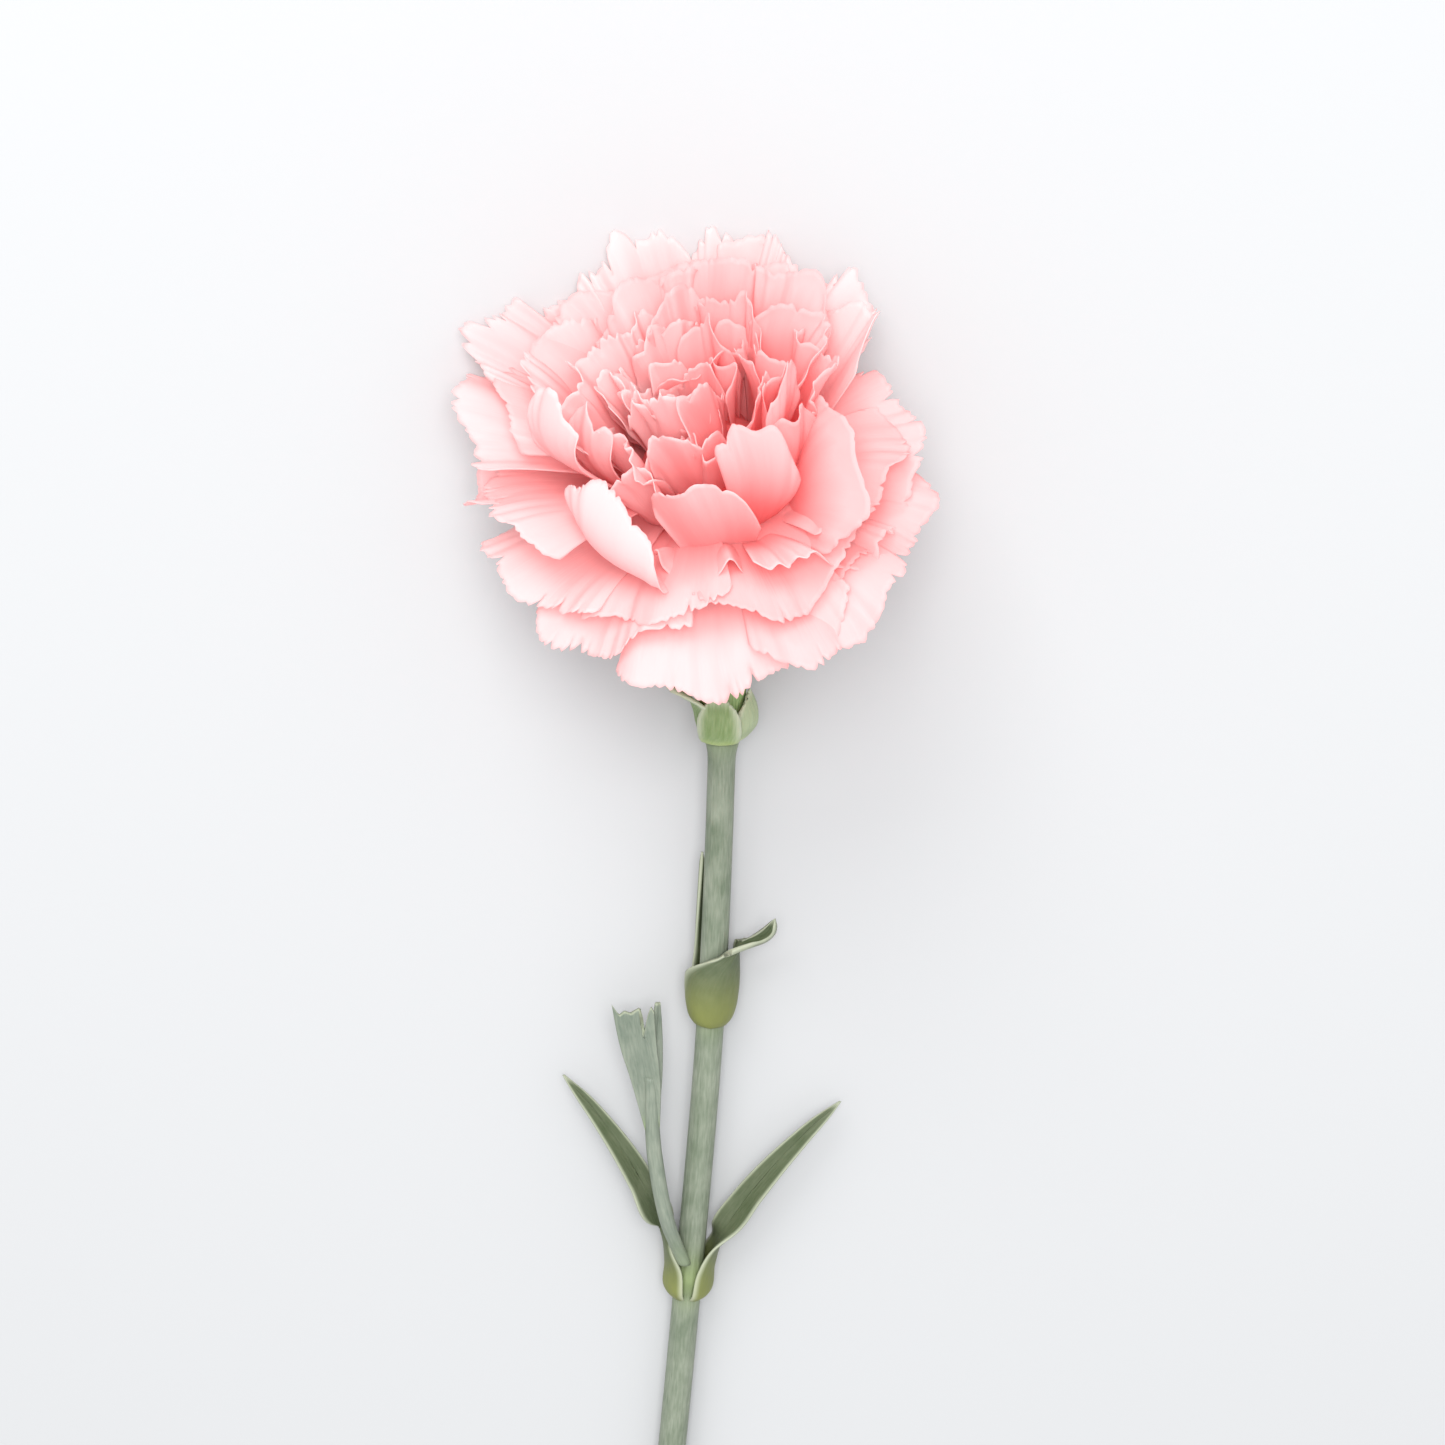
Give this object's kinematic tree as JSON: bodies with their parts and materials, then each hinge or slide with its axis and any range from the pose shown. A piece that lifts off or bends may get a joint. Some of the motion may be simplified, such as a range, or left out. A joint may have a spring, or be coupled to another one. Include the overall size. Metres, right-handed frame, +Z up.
{
  "type": "cut carnation",
  "caption": "Double pink carnation cut with its stem, lying on its side: ruffled toothed petals, a green calyx, a jointed stem with clasping leaves and a side shoot.",
  "frame": {"origin": "middle of the lying flower's footprint, on the surface it rests on", "axes": "+Y along the stem towards the bloom, +Z up from the surface, +X to the right as seen in the picture"},
  "size_m": [0.0804, 0.342, 0.0577],
  "materials": {
    "petal": "thin, soft and slightly translucent; coral pink at the heart, paler towards the toothed margins",
    "calyx": "smooth, waxy, finely ribbed green",
    "bract": "waxy yellow-green with pale thin margins",
    "stem": "grey-green with a waxy bloom, yellower at the joints",
    "leaf": "grey-green, waxy, with a pale keel"
  },
  "bodies": {
    "root": {"petals": "petal", "calyx": "calyx", "bract_left": "bract", "bract_right": "bract", "bract_front": "bract", "bract_back": "bract", "stem": "stem", "leaf_upper_front": "leaf", "leaf_upper_back": "leaf", "leaf_middle_left": "leaf", "leaf_middle_right": "leaf", "side_shoot": "leaf"}
  },
  "joints": []
}
